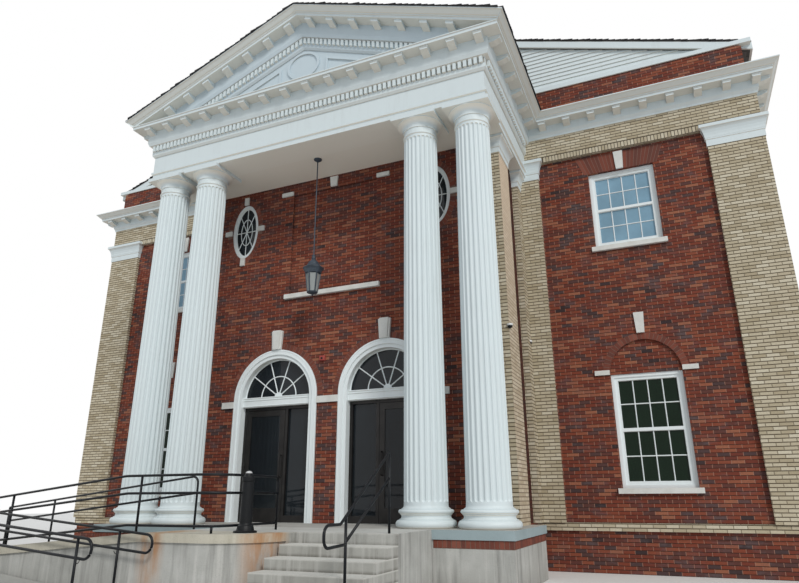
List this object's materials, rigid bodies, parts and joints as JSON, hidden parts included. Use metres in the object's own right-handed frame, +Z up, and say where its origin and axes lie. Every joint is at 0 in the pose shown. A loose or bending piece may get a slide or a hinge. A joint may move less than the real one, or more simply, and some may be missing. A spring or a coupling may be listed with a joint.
{
  "type": "town hall building",
  "caption": "Brick building with a gabled roof, a pedimented portico on fluted columns, arched glazed doors, front steps and a switchback ramp.",
  "frame": {"origin": "on the ground under the middle of the building's outline, steps and ramp included", "axes": "+X to the right for someone who faces the front, +Y from the front to the rear, +Z up"},
  "size_m": [18.03, 24.615, 13.3],
  "materials": {
    "red_brick": "matt mottled brick with light joints",
    "buff_brick": "matt buff brick",
    "pale_stone": "matt limestone",
    "concrete": "matt weathered concrete",
    "white_paint": "satin white paint",
    "roofing": "matt dark shingles",
    "window_glass": "clear",
    "dark_metal": "satin dark bronze",
    "black_metal": "satin black paint",
    "grey_metal": "brushed"
  },
  "bodies": {
    "building": {"foundation": "concrete", "ground_floor": "concrete", "upper_floor": "concrete", "attic_ceiling": "concrete", "front_walls": "red_brick", "front_wall_over_hall": "red_brick", "side_walls": "red_brick", "rear_wall": "red_brick", "brick_pilasters": "buff_brick", "pilaster_capitals": "white_paint", "brick_bands": "buff_brick", "stone_trim": "pale_stone", "window_frames": "white_paint", "window_glass": "window_glass", "main_cornice": "white_paint", "modillions": "white_paint", "gables": "white_paint", "main_roof": "roofing", "entrance_piers": "red_brick", "entrance_wall": "red_brick", "entrance_side_walls": "red_brick", "door_casings": "white_paint", "door_frames": "dark_metal", "entrance_glass": "window_glass", "column_1": "white_paint", "column_2": "white_paint", "column_3": "white_paint", "column_4": "white_paint", "portico_floor": "concrete", "portico_base": "concrete", "portico_ceiling": "white_paint", "entablature": "white_paint", "dentils": "white_paint", "portico_cornice": "white_paint", "raking_cornice": "white_paint", "tympanum": "white_paint", "portico_roof": "roofing", "lantern": "black_metal", "front_steps": "concrete", "ramp": "concrete", "railings": "black_metal", "bollard": "grey_metal"},
    "door_left": {"door_leaf_left": "dark_metal", "door_glass_left": "window_glass"},
    "door_right": {"door_leaf_right": "dark_metal", "door_glass_right": "window_glass"}
  },
  "joints": [
    {"name": "door_right_hinge", "type": "hinge", "parent": "building", "child": "door_right", "pos_m": [2, -6.9695, 1], "axis": [0, 0, 1], "range_deg": [0, 90]},
    {"name": "door_left_hinge", "type": "hinge", "parent": "building", "child": "door_left", "pos_m": [-2, -6.9695, 1], "axis": [0, 0, -1], "range_deg": [0, 90]}
  ]
}
